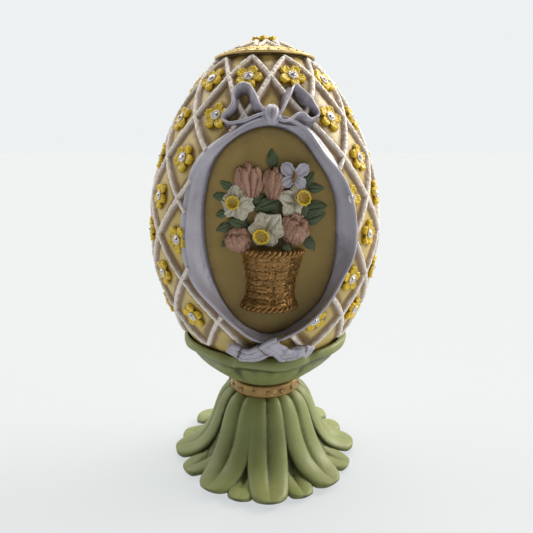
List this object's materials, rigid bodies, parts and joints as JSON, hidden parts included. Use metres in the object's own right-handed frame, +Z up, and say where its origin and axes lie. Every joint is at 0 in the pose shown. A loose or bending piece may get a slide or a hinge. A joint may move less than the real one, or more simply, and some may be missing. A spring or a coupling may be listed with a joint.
{
  "type": "decorated display egg on a leaf pedestal",
  "caption": "Hollow display egg with a lattice of strips and small flowers, an oval niche holding a flower basket, a lift-off crown cap and a loose leaf-skirted pedestal.",
  "frame": {"origin": "middle of the felt disc under the pedestal, where it meets the table", "axes": "+Z up along the egg's axis of revolution, -Y out of the niche, +X to the right as the niche is seen"},
  "size_m": [0.1076, 0.1001, 0.1999],
  "materials": {
    "cream_resin": "satin painted resin, ochre wash in the hollows",
    "white_resin": "satin painted resin, pitted like pearls",
    "yellow_resin": "satin painted resin",
    "lilac_resin": "satin painted resin, pale on the edges",
    "gold_paint": "metallic gold paint over resin",
    "pale_gold_paint": "pale metallic gold paint over resin",
    "green_resin": "matte painted resin, dark wash in the grooves",
    "leaf_paint": "satin painted resin",
    "pink_paint": "satin painted resin, rose wash",
    "ivory_paint": "satin painted resin, grey wash",
    "felt": "felt",
    "crystal": "clear faceted rhinestone with a silver back"
  },
  "bodies": {
    "stand": {"base_felt": "felt", "skirt_core": "green_resin", "long_leaves": "green_resin", "under_leaves": "green_resin", "collar_ring": "gold_paint", "collar_studs": "gold_paint", "cup_bowl": "green_resin", "cup_rim": "green_resin"},
    "pad": {"cup_pad": "felt"},
    "egg": {"egg_shell": "cream_resin", "niche_tray": "cream_resin", "lattice_east": "white_resin", "lattice_west": "white_resin", "crystals": "crystal", "ribbon_frame": "lilac_resin", "ribbon_tail_left": "lilac_resin", "ribbon_tail_right": "lilac_resin", "bow_loop_left": "lilac_resin", "bow_loop_right": "lilac_resin", "bow_knot": "lilac_resin", "basket": "gold_paint", "basket_rim": "gold_paint", "basket_foot": "gold_paint", "bouquet_leaves": "leaf_paint", "tulip_left": "pink_paint", "tulip_right": "pink_paint", "rose_left": "pink_paint", "rose_right": "pink_paint", "daffodil_left": "ivory_paint", "daffodil_right": "ivory_paint", "daffodil_front": "ivory_paint", "daffodil_cups": "yellow_resin", "butterfly_wings": "lilac_resin", "butterfly_body": "gold_paint", "flowers_row_1": "yellow_resin", "flowers_row_2": "yellow_resin", "flowers_row_3": "yellow_resin", "flowers_row_4": "yellow_resin", "flowers_row_5": "yellow_resin", "flowers_row_6": "yellow_resin", "flowers_row_7": "yellow_resin"},
    "cap": {"cap_dome": "cream_resin", "cap_band": "pale_gold_paint", "cap_studs": "pale_gold_paint", "cap_lattice_east": "white_resin", "cap_lattice_west": "white_resin", "cap_flower": "yellow_resin"}
  },
  "joints": [
    {"name": "egg_turn", "type": "hinge", "parent": "stand", "child": "pad", "pos_m": [0, 0, 0.05], "axis": [0, 0, 1], "continuous": true},
    {"name": "egg_lift", "type": "slide", "parent": "pad", "child": "egg", "axis": [0, 0, 1], "range_m": [0, 0.06]},
    {"name": "cap_lift", "type": "slide", "parent": "egg", "child": "cap", "axis": [0, 0, 1], "range_m": [0, 0.03]}
  ]
}
